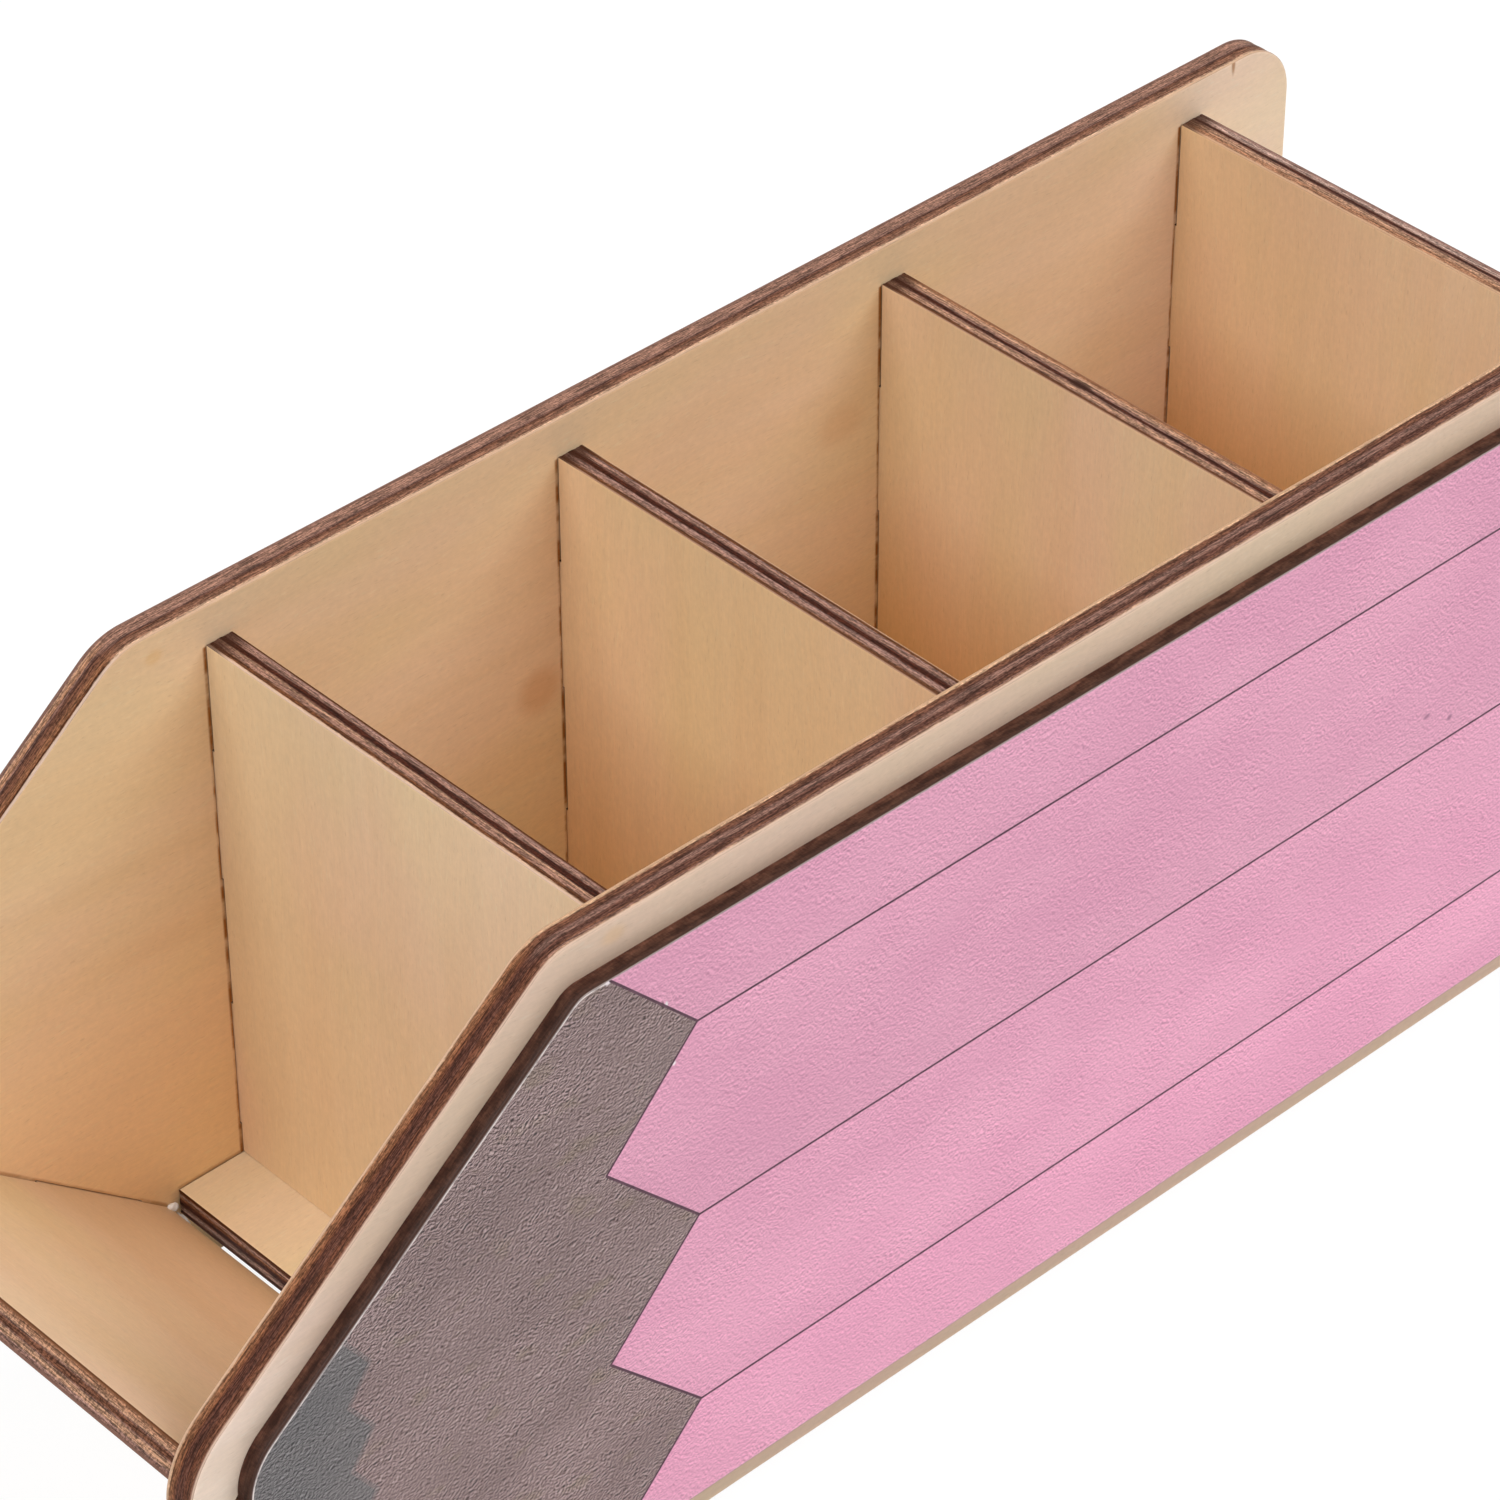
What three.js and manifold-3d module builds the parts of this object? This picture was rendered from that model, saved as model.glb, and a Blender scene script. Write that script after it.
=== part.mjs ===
// Pencil-shaped desk organiser of laser-cut plywood, glued together with tabs and slots.
// Millimetres and degrees. +X runs from the pencil's tip to its flat end, +Y from the printed
// face to the back, +Z up. The origin is the middle of the bounding box's bottom face.
import * as THREE from 'three';
import { mergeVertices } from 'three/addons/utils/BufferGeometryUtils.js';
import Module from 'manifold-3d';

// Sheets
const PLY = 3.9; // plywood of the two side panels
const BOARD = 3.6; // plywood of the cross walls, floor and sloping board
const FACING_PLY = 1.75; // thin board that carries the printed face
const SKIN = 0.45; // embossed and printed sheet laminated onto the thin board

// Side panels, which have the silhouette of a pencil
const PANEL_HEIGHT = 89.6;
const SLANT_ANGLE = 38.7; // of the pencil's cone, from the horizontal
const SHOULDER_SETBACK = 11.3; // from the first divider's near face out to where the cone starts
const END_OVERHANG = 15.5; // of the panels past the end wall
const NOSE_RADIUS = 12;
const SHOULDER_RADIUS = 9; // where the straight edges turn into the cone
const END_RADIUS = 8; // of the flat end's two corners
const LEAST_RADIUS = 1; // of the printed face's corners, however deep its inset
const FACING_INSET = 5; // of the printed face inside the front panel's edge, all round
const FACING_NOSE_RADIUS = 8.5;

// Compartments
const INNER_DEPTH = 64; // between the two side panels
const BAY_COUNT = 3;
const BAY_PITCH = 50.1; // from one cross wall's near face to the next one's
const WALL_DROP = 4.8; // of the cross walls' top edges below the panels' top edge
const FLOOR_RAISE = 8.9; // of the floor's underside above the panels' bottom edge
const FLOOR_LIP = 9.45; // of the floor past the first divider, and past the end wall

// Sloping board under the tip compartment
const SLOPE_STEEPER = 1.6; // than the panels' slanted edge, in degrees
const SLOPE_SLIT = 1.48; // see-through slit between the floor's edge and the board
const SLOPE_LIFT = 1.86; // of the board's lower edge above the floor's underside
const SLOPE_TIP_SETBACK = 3.5; // of the board's upper edge behind the panels' nose

// Tabs and slots
const TAB_LENGTH = 17.9;
const TAB_SPACING = 17.8; // between the two tabs on one side of a cross wall
const TAB_FROM_TOP = 14.4; // of the upper tab below a cross wall's top edge
const SLOPE_TAB_MARGIN = 5; // from each end of the sloping board to its nearest tab
const SLOT_PLAY = 0.15; // around a tab in its slot
const CUT_THROUGH = 1; // of a slot's cutter past both faces of the panel

const ARC_SEGMENTS = 10;
const NOSE_CORNER = 3; // its place in the silhouette's list of corners
const radians = THREE.MathUtils.degToRad;

const wasm = await Module();
wasm.setup();

// Places that follow from the sizes, measured from the first divider's near face, the front
// panel's inner face and the panels' bottom edge
const floorTop = FLOOR_RAISE + BOARD;
const wallTop = PANEL_HEIGHT - WALL_DROP;
const wallStarts = Array.from({ length: BAY_COUNT + 1 }, (_, i) => i * BAY_PITCH);
const endWallFar = wallStarts[BAY_COUNT] + BOARD;
const shoulderX = -SHOULDER_SETBACK;
const panelEnd = endWallFar + END_OVERHANG;
const slant = radians(SLANT_ANGLE);
const sharpTipX = shoulderX - PANEL_HEIGHT / 2 / Math.tan(slant);
const noseX = sharpTipX + NOSE_RADIUS / Math.sin(slant) - NOSE_RADIUS;

// A cross wall's tabs run along Z, as [low, high]
const upperTab = [wallTop - TAB_FROM_TOP - TAB_LENGTH, wallTop - TAB_FROM_TOP];
const lowerTab = upperTab.map((z) => z - TAB_LENGTH - TAB_SPACING);
const wallTabs = [lowerTab, upperTab];

// The floor's tabs run along X, one in the middle of each bay
const floorTabs = wallStarts.slice(0, BAY_COUNT).map((start) => {
  const middle = start + (BAY_PITCH + BOARD) / 2;
  return [middle - TAB_LENGTH / 2, middle + TAB_LENGTH / 2];
});

// The sloping board starts beside the floor's edge and climbs towards the tip
const slopeAngle = radians(SLANT_ANGLE + SLOPE_STEEPER);
const slopeStart = new THREE.Vector2(-FLOOR_LIP - SLOPE_SLIT, FLOOR_RAISE + SLOPE_LIFT);
const slopeRun = slopeStart.x - noseX - SLOPE_TIP_SETBACK;
const slopeLength = slopeRun / Math.cos(slopeAngle);
const slopeUp = new THREE.Vector2(-Math.cos(slopeAngle), Math.sin(slopeAngle));
const slopeUnder = new THREE.Vector2(-Math.sin(slopeAngle), -Math.cos(slopeAngle));
const slopeTabs = [
  [SLOPE_TAB_MARGIN, SLOPE_TAB_MARGIN + TAB_LENGTH],
  [slopeLength - SLOPE_TAB_MARGIN - TAB_LENGTH, slopeLength - SLOPE_TAB_MARGIN],
];

const plywood = new THREE.MeshStandardMaterial({ color: 0xcfa882, roughness: 0.62, metalness: 0 });
const thinBoard = new THREE.MeshStandardMaterial({ color: 0x5a3d33, roughness: 0.8, metalness: 0 });
const printedSkin = new THREE.MeshStandardMaterial({ color: 0xdca0b6, roughness: 0.5, metalness: 0 });

// One corner of a closed convex outline: the directions to its neighbours, the half angle
// between them, and the point at a distance from both edges
function cornerOf(corners, i) {
  const corner = corners[i];
  const toBefore = corners[(i + corners.length - 1) % corners.length].clone().sub(corner).normalize();
  const toAfter = corners[(i + 1) % corners.length].clone().sub(corner).normalize();
  const halfAngle = toBefore.angleTo(toAfter) / 2;
  const middle = toBefore.clone().add(toAfter);
  const inside = (distance) => corner.clone().add(middle.clone().setLength(distance / Math.sin(halfAngle)));
  return { corner, toBefore, toAfter, halfAngle, inside };
}

// Closed shape through the corner points, with an arc of the given radius at each corner
function roundedShape(corners, radii) {
  const shape = new THREE.Shape();
  radii.forEach((radius, i) => {
    const { corner, toBefore, toAfter, halfAngle, inside } = cornerOf(corners, i);
    const centre = inside(radius);
    const tangent = radius / Math.tan(halfAngle);
    const first = corner.clone().addScaledVector(toBefore, tangent).sub(centre);
    const last = corner.clone().addScaledVector(toAfter, tangent).sub(centre);
    shape.absarc(centre.x, centre.y, radius, first.angle(), last.angle(), false);
  });
  shape.closePath();
  return shape;
}

// Pencil silhouette moved inwards, drawn anticlockwise from the flat end's lower corner
function pencilShape(inset) {
  const corners = [
    new THREE.Vector2(panelEnd, 0),
    new THREE.Vector2(panelEnd, PANEL_HEIGHT),
    new THREE.Vector2(shoulderX, PANEL_HEIGHT),
    new THREE.Vector2(sharpTipX, PANEL_HEIGHT / 2),
    new THREE.Vector2(shoulderX, 0),
  ];
  const radii = [END_RADIUS, END_RADIUS, SHOULDER_RADIUS, NOSE_RADIUS, SHOULDER_RADIUS];
  const movedCorners = corners.map((_, i) => cornerOf(corners, i).inside(inset));
  const movedRadii = radii.map((radius) => Math.max(radius - inset, LEAST_RADIUS));
  if (inset > 0) movedRadii[NOSE_CORNER] = FACING_NOSE_RADIUS;
  return roundedShape(movedCorners, movedRadii);
}

// Slot for a tab: a rectangle with play around it, from a corner and two directions with lengths
function slot(corner, along, length, across, thickness) {
  const at = (s, t) => corner.clone().addScaledVector(along, s).addScaledVector(across, t);
  return new THREE.Shape([
    at(-SLOT_PLAY, -SLOT_PLAY),
    at(length + SLOT_PLAY, -SLOT_PLAY),
    at(length + SLOT_PLAY, thickness + SLOT_PLAY),
    at(-SLOT_PLAY, thickness + SLOT_PLAY),
  ]);
}

function panelSlots() {
  const right = new THREE.Vector2(1, 0);
  const up = new THREE.Vector2(0, 1);
  const slots = [];
  for (const start of wallStarts) {
    for (const [low, high] of wallTabs) {
      slots.push(slot(new THREE.Vector2(start, low), right, BOARD, up, high - low));
    }
  }
  for (const [low, high] of floorTabs) {
    slots.push(slot(new THREE.Vector2(low, FLOOR_RAISE), right, high - low, up, BOARD));
  }
  for (const [low, high] of slopeTabs) {
    const corner = slopeStart.clone().addScaledVector(slopeUp, low);
    slots.push(slot(corner, slopeUp, high - low, slopeUnder, BOARD));
  }
  return slots;
}

// Board from `from` to `to` between the panels, with tabs as long as the panels are thick on
// both sides: the shape's first axis runs along the board and its second from front to back
function tabbedShape(from, to, tabs) {
  const front = [new THREE.Vector2(from, 0)];
  for (const [low, high] of tabs) {
    front.push(new THREE.Vector2(low, 0), new THREE.Vector2(low, -PLY));
    front.push(new THREE.Vector2(high, -PLY), new THREE.Vector2(high, 0));
  }
  front.push(new THREE.Vector2(to, 0));
  const back = front.map((point) => new THREE.Vector2(point.x, INNER_DEPTH - point.y)).reverse();
  return new THREE.Shape([...front, ...back]);
}

function extrude(shape, thickness) {
  return new THREE.ExtrudeGeometry(shape, {
    depth: thickness,
    bevelEnabled: false,
    curveSegments: ARC_SEGMENTS,
  });
}

function toSolid(geometry) {
  geometry.deleteAttribute('normal');
  geometry.deleteAttribute('uv');
  const merged = mergeVertices(geometry);
  const vertProperties = merged.getAttribute('position').array;
  const triVerts = Uint32Array.from(merged.index.array);
  return new wasm.Manifold(new wasm.Mesh({ numProp: 3, vertProperties, triVerts }));
}

function toGeometry(solid) {
  const { vertProperties, triVerts } = solid.getMesh();
  const geometry = new THREE.BufferGeometry();
  geometry.setAttribute('position', new THREE.BufferAttribute(vertProperties, 3));
  geometry.setIndex(new THREE.BufferAttribute(triVerts, 1));
  geometry.computeVertexNormals();
  return geometry;
}

// Extruded shape with every slot cut right through it
function slottedGeometry(shape, slots, thickness) {
  let solid = toSolid(extrude(shape, thickness));
  for (const slotShape of slots) {
    const cutter = extrude(slotShape, thickness + 2 * CUT_THROUGH);
    cutter.translate(0, 0, -CUT_THROUGH);
    solid = solid.subtract(toSolid(cutter));
  }
  return toGeometry(solid);
}

// Sheet of a flat geometry, whose three axes are laid along three directions
function sheet(name, geometry, material, axes, place) {
  geometry.applyMatrix4(new THREE.Matrix4().makeBasis(...axes));
  const mesh = new THREE.Mesh(geometry, material);
  mesh.name = name;
  mesh.position.copy(place);
  return mesh;
}

const X = new THREE.Vector3(1, 0, 0);
const Y = new THREE.Vector3(0, 1, 0);
const Z = new THREE.Vector3(0, 0, 1);

// Sheet in the plane of the silhouette, whose back face lies at `backY`
function uprightSheet(name, geometry, material, backY) {
  const axes = [X, Z, Y.clone().negate()];
  return sheet(name, geometry, material, axes, new THREE.Vector3(0, backY, 0));
}

function sidePanel(name, backY) {
  return uprightSheet(name, slottedGeometry(pencilShape(0), panelSlots(), PLY), plywood, backY);
}

function facingBoard() {
  return uprightSheet('facing_board', extrude(pencilShape(FACING_INSET), FACING_PLY), thinBoard, -PLY);
}

function facingSkin() {
  const geometry = extrude(pencilShape(FACING_INSET), SKIN);
  return uprightSheet('facing_skin', geometry, printedSkin, -PLY - FACING_PLY);
}

// Cross wall: the board's long axis stands upright and its thickness runs along +X
function crossWall(name, start) {
  const geometry = extrude(tabbedShape(floorTop, wallTop, wallTabs), BOARD);
  const axes = [Z, Y, X.clone().negate()];
  return sheet(name, geometry, plywood, axes, new THREE.Vector3(start + BOARD, 0, 0));
}

function floorPanel() {
  const geometry = extrude(tabbedShape(-FLOOR_LIP, endWallFar + FLOOR_LIP, floorTabs), BOARD);
  return sheet('floor_panel', geometry, plywood, [X, Y, Z], new THREE.Vector3(0, 0, FLOOR_RAISE));
}

function slopeBoard() {
  const geometry = extrude(tabbedShape(0, slopeLength, slopeTabs), BOARD);
  const along = new THREE.Vector3(slopeUp.x, 0, slopeUp.y);
  const under = new THREE.Vector3(slopeUnder.x, 0, slopeUnder.y);
  const place = new THREE.Vector3(slopeStart.x, 0, slopeStart.y);
  return sheet('slope_board', geometry, plywood, [along, Y, under], place);
}

const holder = new THREE.Group();
const faceY = -PLY - FACING_PLY - SKIN;
const backY = INNER_DEPTH + PLY;
holder.position.set(-(noseX + panelEnd) / 2, -(faceY + backY) / 2, 0);

holder.add(sidePanel('front_panel', 0));
holder.add(sidePanel('back_panel', backY));
holder.add(facingBoard());
holder.add(facingSkin());
wallStarts.forEach((start, i) => {
  holder.add(crossWall(i < BAY_COUNT ? `divider_${i + 1}` : 'end_wall', start));
});
holder.add(floorPanel());
holder.add(slopeBoard());

export default holder;
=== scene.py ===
"""Looks of the pencil-shaped desk organiser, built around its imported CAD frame.

Lengths are millimetres in the design frame, in which x = 0 is the first divider's tip-side
face, y = 0 the front panel's inner face and z = 0 the desk. `metres` turns them into the row
frame. Every board is a closed mesh of its own: two flat faces and a laser-cut rim, whose
plies stand out a little from each other.
"""
import math

import bmesh
import bpy
import numpy as np
from mathutils import Matrix, Vector, noise
from mathutils.geometry import delaunay_2d_cdt


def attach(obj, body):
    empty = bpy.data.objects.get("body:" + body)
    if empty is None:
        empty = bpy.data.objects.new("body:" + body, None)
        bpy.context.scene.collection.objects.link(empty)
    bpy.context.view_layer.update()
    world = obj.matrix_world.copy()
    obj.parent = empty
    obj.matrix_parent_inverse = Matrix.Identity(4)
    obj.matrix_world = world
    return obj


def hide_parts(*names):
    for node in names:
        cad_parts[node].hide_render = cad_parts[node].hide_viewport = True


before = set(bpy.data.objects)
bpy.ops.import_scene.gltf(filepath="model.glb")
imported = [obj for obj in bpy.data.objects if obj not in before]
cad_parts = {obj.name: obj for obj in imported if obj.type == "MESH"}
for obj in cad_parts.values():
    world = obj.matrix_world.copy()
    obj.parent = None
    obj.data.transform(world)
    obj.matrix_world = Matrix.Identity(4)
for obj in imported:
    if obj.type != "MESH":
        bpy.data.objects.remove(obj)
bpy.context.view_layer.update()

# Sheets
PLY = 3.9  # side panels
BOARD = 3.6  # cross walls, floor and sloping board
FACING_PLY = 1.75
SKIN = 0.45

# Side panels
PANEL_HEIGHT = 89.6
SLANT = math.radians(38.7)
SHOULDER_SETBACK = 11.3
END_OVERHANG = 15.5
NOSE_RADIUS = 12
SHOULDER_RADIUS = 9
END_RADIUS = 8
LEAST_RADIUS = 1
FACING_INSET = 5
FACING_NOSE_RADIUS = 8.5
NOSE_CORNER = 3

# Compartments
INNER_DEPTH = 64
BAY_COUNT = 3
BAY_PITCH = 50.1
WALL_DROP = 4.8
FLOOR_RAISE = 8.9
FLOOR_LIP = 9.45
WALL_CORNER = 0.15  # radius of a cross wall's two upper corners

# Sloping board
SLOPE_STEEPER = math.radians(1.6)
SLOPE_SLIT = 1.48
SLOPE_LIFT = 1.86
SLOPE_TIP_SETBACK = 3.5

# Tabs and slots
TAB_LENGTH = 17.9
TAB_SPACING = 17.8
TAB_FROM_TOP = 14.4
SLOPE_TAB_MARGIN = 5
TAB_ROUND = 0.35
SLOT_PLAY = 0.05
SEAM_GAP = 0.08  # between a board's shoulder and the panel that it butts on

floor_top = FLOOR_RAISE + BOARD
wall_top = PANEL_HEIGHT - WALL_DROP
wall_starts = [i * BAY_PITCH for i in range(BAY_COUNT + 1)]
end_wall_far = wall_starts[-1] + BOARD
shoulder_x = -SHOULDER_SETBACK
panel_end = end_wall_far + END_OVERHANG
sharp_tip_x = shoulder_x - PANEL_HEIGHT / 2 / math.tan(SLANT)
nose_x = sharp_tip_x + NOSE_RADIUS / math.sin(SLANT) - NOSE_RADIUS
upper_tab = (wall_top - TAB_FROM_TOP - TAB_LENGTH, wall_top - TAB_FROM_TOP)
lower_tab = tuple(z - TAB_LENGTH - TAB_SPACING for z in upper_tab)
wall_tabs = [lower_tab, upper_tab]
floor_tabs = []
for start in wall_starts[:BAY_COUNT]:
    middle = start + (BAY_PITCH + BOARD) / 2
    floor_tabs.append((middle - TAB_LENGTH / 2, middle + TAB_LENGTH / 2))
slope_angle = SLANT + SLOPE_STEEPER
slope_start = (-FLOOR_LIP - SLOPE_SLIT, FLOOR_RAISE + SLOPE_LIFT)
slope_length = (slope_start[0] - nose_x - SLOPE_TIP_SETBACK) / math.cos(slope_angle)
slope_up = (-math.cos(slope_angle), math.sin(slope_angle))
slope_under = (-math.sin(slope_angle), -math.cos(slope_angle))
slope_tabs = [
    (SLOPE_TAB_MARGIN, SLOPE_TAB_MARGIN + TAB_LENGTH),
    (slope_length - SLOPE_TAB_MARGIN - TAB_LENGTH, slope_length - SLOPE_TAB_MARGIN),
]
face_y = -PLY - FACING_PLY - SKIN
back_y = INNER_DEPTH + PLY
origin = Vector(((nose_x + panel_end) / 2, (face_y + back_y) / 2, 0))


def metres(x, y, z):
    return (Vector((x, y, z)) - origin) / 1000


# Outlines

RUN_STEP = 1.0  # between points along a straight cut
ARC_STEP = 0.35


def corner_of(corners, i, inset):
    """A corner moved inwards, with the unit directions to its neighbours and its half angle."""
    at = Vector(corners[i])
    before = (Vector(corners[i - 1]) - at).normalized()
    after = (Vector(corners[(i + 1) % len(corners)]) - at).normalized()
    half = before.angle(after) / 2
    middle = (before + after).normalized()
    if before.cross(after) > 0:  # a hollow corner of an anticlockwise outline
        middle = -middle
    return at + middle * (inset / math.sin(half)), before, after, half


def arc(corner, before, after, half, radius):
    """Points of the arc of that radius that rounds a corner."""
    reach = radius / math.tan(half)
    centre = corner + (before + after).normalized() * (radius / math.sin(half))
    first, last = corner + before * reach - centre, corner + after * reach - centre
    turn = first.angle_signed(last)
    count = max(2, math.ceil(abs(turn) * radius / ARC_STEP))
    points = []
    for k in range(count + 1):
        point = first.copy()
        point.rotate(Matrix.Rotation(-turn * k / count, 2))
        points.append(centre + point)
    return points


def outline(corners, radii, inset=0.0):
    """Closed outline with rounded corners, finely divided along its straight stretches."""
    turns = []
    for i, radius in enumerate(radii):
        corner, before, after, half = corner_of(corners, i, inset)
        turns.append(arc(corner, before, after, half, radius) if radius > 0 else [corner])
    points = []
    for i, turn in enumerate(turns):
        points.extend(turn)
        gap = turns[(i + 1) % len(turns)][0] - turn[-1]
        count = max(1, round(gap.length / RUN_STEP))
        points.extend(turn[-1] + gap * (k / count) for k in range(1, count))
    return points


def pencil_outline(inset=0.0):
    corners = [
        (panel_end, 0),
        (panel_end, PANEL_HEIGHT),
        (shoulder_x, PANEL_HEIGHT),
        (sharp_tip_x, PANEL_HEIGHT / 2),
        (shoulder_x, 0),
    ]
    radii = [END_RADIUS, END_RADIUS, SHOULDER_RADIUS, NOSE_RADIUS, SHOULDER_RADIUS]
    if inset:
        radii = [max(radius - inset, LEAST_RADIUS) for radius in radii]
        radii[NOSE_CORNER] = FACING_NOSE_RADIUS
    return outline(corners, radii, inset)


def slot_outline(corner, along, length, across, thickness):
    """A slot, drawn clockwise, so that the board lies on its outer side."""
    corner, along, across = Vector(corner), Vector(along), Vector(across)
    ends = [(-1, -1), (-1, 1), (1, 1), (1, -1)]
    size, play = Vector((length, thickness)), SLOT_PLAY
    corners = [
        corner
        + along * (size.x / 2 * (1 + s) + s * play)
        + across * (size.y / 2 * (1 + t) + t * play)
        for s, t in ends
    ]
    if (corners[1] - corners[0]).cross(corners[2] - corners[1]) > 0:
        corners.reverse()
    return outline(corners, [0.0] * 4)


def panel_slots():
    slots = []
    for start in wall_starts:
        for low, high in wall_tabs:
            slots.append(slot_outline((start, low), (1, 0), BOARD, (0, 1), high - low))
    for low, high in floor_tabs:
        slots.append(slot_outline((low, FLOOR_RAISE), (1, 0), high - low, (0, 1), BOARD))
    for low, high in slope_tabs:
        corner = Vector(slope_start) + Vector(slope_up) * low
        slots.append(slot_outline(corner, slope_up, high - low, slope_under, BOARD))
    return slots


def tabbed_outline(start, end, tabs, end_radius=0.0):
    """A board from `start` to `end` between the panels, with its tabs reaching through both."""
    front, radii = [(start, SEAM_GAP)], [0.0]
    for low, high in tabs:
        front += [(low, SEAM_GAP), (low, -PLY), (high, -PLY), (high, SEAM_GAP)]
        radii += [0.0, TAB_ROUND, TAB_ROUND, 0.0]
    front.append((end, SEAM_GAP))
    radii.append(end_radius)
    back = [(s, INNER_DEPTH - t) for s, t in reversed(front)]
    return outline(front + back, radii + radii[::-1])


# Boards

BEVEL = 0.1
RIM_RINGS = (0.35, 0.9, 2.0, 4.5)
INNER_GRID = 7.0
CHUNK = 400  # points whose distances are found in one go
CLEAR_SHARE = 0.97  # of a ring's distance that its points keep from every cut
SAME_POINT = 1e-5
LEAST_AREA = 1e-7
SHARP_EDGE = math.radians(32)


def inwards(loop):
    """Unit direction into the board at each point of a loop, with its stretch at corners."""
    count = len(loop)
    result = []
    for i, point in enumerate(loop):
        a = (point - loop[i - 1]).normalized()
        b = (loop[(i + 1) % count] - point).normalized()
        normal = Vector((-a.y - b.y, a.x + b.x)).normalized()
        stretch = 1 / max(0.5, normal.dot(Vector((-a.y, a.x))))
        result.append(normal * stretch)
    return result


def moved(loop, distance):
    return [p + n * distance for p, n in zip(loop, inwards(loop))]


def segments(loops):
    starts = np.array([p for loop in loops for p in loop], float)
    ends = np.array([p for loop in loops for p in loop[1:] + loop[:1]], float)
    return starts, ends


def rim_distance(points, loops):
    """Distance of each point from the nearest cut."""
    starts, ends = segments(loops)
    along = ends - starts
    squared = np.maximum((along**2).sum(1), 1e-9)
    nearest = np.full(len(points), 1e9)
    for first in range(0, len(points), CHUNK):
        part = points[first : first + CHUNK]
        offset = part[:, None] - starts
        share = np.clip((offset * along).sum(2) / squared, 0, 1)
        gap = offset - along * share[..., None]
        nearest[first : first + CHUNK] = np.sqrt((gap**2).sum(2).min(1))
    return nearest


def inside(points, loops):
    """Whether each point lies inside the outer loop and outside every hole."""
    starts, ends = segments(loops)
    hits = np.zeros(len(points), int)
    for (ax, ay), (bx, by) in zip(starts, ends):
        if ay == by:
            continue
        crosses = (points[:, 1] < ay) != (points[:, 1] < by)
        at = ax + (points[:, 1] - ay) * (bx - ax) / (by - ay)
        hits += crosses & (points[:, 0] < at)
    return hits % 2 == 1


def face_points(loops):
    """Points inside a flat face: rings along its cuts, and a coarse grid."""
    found = []
    for ring in RIM_RINGS:
        for loop in loops:
            points = np.array(moved(loop, ring), float)
            found.append(points[rim_distance(points, loops) > ring * CLEAR_SHARE])
    outer = np.array(loops[0], float)
    low, high = outer.min(0), outer.max(0)
    across, up = (np.arange(low[i], high[i], INNER_GRID) for i in range(2))
    grid = np.stack(np.meshgrid(across, up), -1).reshape(-1, 2)
    found.append(grid[rim_distance(grid, loops) > RIM_RINGS[-1] + 1])
    points = np.concatenate(found)
    return np.unique(points[inside(points, loops)].round(2), axis=0)  # no two nearly the same


class Build:
    """Vertices, faces, material numbers and rim coordinates of one mesh."""

    def __init__(self):
        self.points, self.faces, self.kinds, self.uvs = [], [], [], []

    def add(self, face, kind, uvs):
        self.faces.append(face)
        self.kinds.append(kind)
        self.uvs.extend(uvs)

    def mesh(self, name, materials):
        mesh = bpy.data.meshes.new(name)
        mesh.from_pydata([metres(*p) for p in self.points], [], self.faces)
        for material in materials:
            mesh.materials.append(material)
        mesh.polygons.foreach_set("material_index", self.kinds)
        layer = mesh.uv_layers.new(name="cut")
        layer.data.foreach_set("uv", np.array(self.uvs, np.float32).ravel())
        mesh.polygons.foreach_set("use_smooth", [True] * len(self.faces))
        mesh.set_sharp_from_angle(angle=SHARP_EDGE)
        shell = bmesh.new()
        shell.from_mesh(mesh)
        bmesh.ops.recalc_face_normals(shell, faces=shell.faces)
        shell.to_mesh(mesh)
        shell.free()
        mesh.validate()
        mesh.update()
        piece = bpy.data.objects.new(name, mesh)
        bpy.context.scene.collection.objects.link(piece)
        return piece


def fill(build, rings, loops, height, place, flip, kind_of, relief=None, extra=None):
    """Triangulates a flat face between vertex rings that the mesh already has."""
    loops_2d, numbers, edges = [], [], []
    for ring in rings:
        base = len(numbers)
        loops_2d.extend(point for point, _ in ring)
        numbers.extend(number for _, number in ring)
        edges.extend((base + i, base + (i + 1) % len(ring)) for i in range(len(ring)))
    borders = [[Vector(p) for p, _ in ring] for ring in rings]
    inner = [Vector(p) for p in face_points(borders)]
    flat = [Vector(p) for p in loops_2d] + inner
    if extra:
        points, pairs = extra
        base = len(flat)
        flat += points
        edges += [(base + a, base + b) for a, b in pairs]
    points, _, triangles, origins, _, _ = delaunay_2d_cdt(flat, edges, [], 0, SAME_POINT)
    where = np.array(points, float)
    distance = rim_distance(where, loops)
    vertex = []
    for i, point in enumerate(points):
        ring_number = next((numbers[o] for o in origins[i] if o < len(numbers)), None)
        if ring_number is None:
            ring_number = len(build.points)
            drop = relief(point.x, point.y) if relief else 0.0
            build.points.append(place(point.x, point.y, height, drop))
        vertex.append(ring_number)
    centres = np.array([where[list(t)].mean(0) for t in triangles])
    keep = inside(centres, borders)
    for triangle, centre, kept in zip(triangles, centres, keep):
        a, b, c = triangle
        area = (points[b] - points[a]).cross(points[c] - points[a])
        if not kept or abs(area) < LEAST_AREA:
            continue
        order = (a, b, c) if (area > 0) != flip else (a, c, b)
        uvs = [(distance[i], 0.0) for i in order]
        build.add([vertex[i] for i in order], kind_of(*centre), uvs)


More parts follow.
